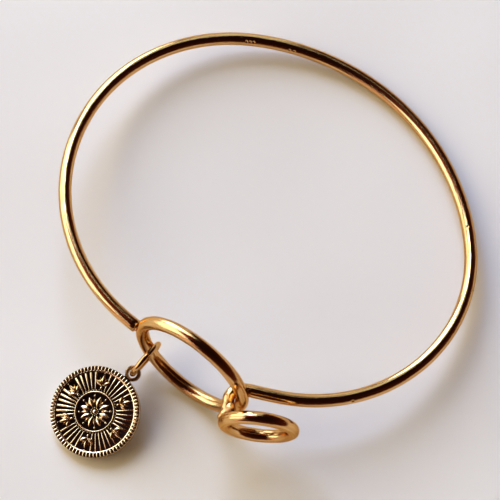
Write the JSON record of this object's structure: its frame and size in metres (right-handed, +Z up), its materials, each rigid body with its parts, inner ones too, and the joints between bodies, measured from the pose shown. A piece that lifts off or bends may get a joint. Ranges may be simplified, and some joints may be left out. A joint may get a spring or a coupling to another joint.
{
  "type": "charm bangle",
  "caption": "Springy wire bangle whose hooked end passes through a large soldered ring, with a small struck medallion lying on a jump ring.",
  "frame": {"origin": "on the table under the middle of the object's box", "axes": "+Z up from the table, +Y from the medallion across the hoop to its far side, +X along the chord of the catch ring towards the clasp"},
  "size_m": [0.0684, 0.0766, 0.0203],
  "materials": {
    "polished_gold": "polished gold plate on drawn brass wire, with small nicks and draw lines",
    "jump_ring_gold": "polished pale gold plate on thin brass wire",
    "antiqued_gold": "struck brass with pale gold high points and near-black brown antiquing in the recesses"
  },
  "bodies": {
    "root": {"bangle": "polished_gold", "jump_ring": "jump_ring_gold", "medallion": "antiqued_gold"}
  },
  "joints": []
}
